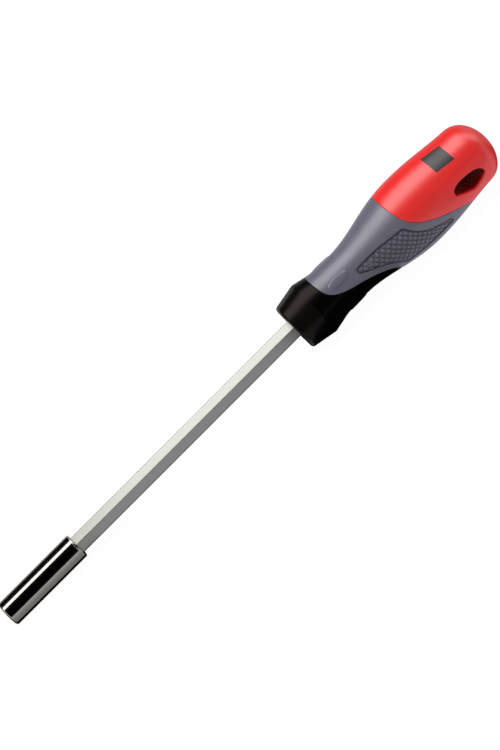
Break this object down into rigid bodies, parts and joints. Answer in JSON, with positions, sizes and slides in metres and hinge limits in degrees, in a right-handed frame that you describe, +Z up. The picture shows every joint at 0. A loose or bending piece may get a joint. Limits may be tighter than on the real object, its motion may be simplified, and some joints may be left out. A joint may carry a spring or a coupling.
{
  "type": "magnetic bit holder",
  "caption": "Screwdriver-style holder for hex bits: long hex blade, magnetic socket sleeve at the tip, waisted handle with wave seams, flank panels and a hanging slot.",
  "frame": {"origin": "on the surface that the tool lies on, under the middle of its length", "axes": "+X along the tool from the socket to the butt, +Z up through the handle's label side, Y along the hanging slot"},
  "size_m": [0.2502, 0.0296, 0.0297],
  "materials": {
    "polished_steel": "polished stainless steel",
    "spring_steel": "bright spring wire",
    "magnet_nickel": "nickel plated",
    "satin_chrome": "satin chrome plate",
    "red_plastic": "moulded, softly glossy",
    "black_plastic": "moulded, satin",
    "grey_rubber": "soft-touch matt"
  },
  "bodies": {
    "root": {"bit_sleeve": "polished_steel", "retaining_ring": "spring_steel", "magnet": "magnet_nickel", "hex_blade": "satin_chrome", "handle_core": "red_plastic", "front_collar": "black_plastic", "soft_grip": "grey_rubber"}
  },
  "joints": []
}
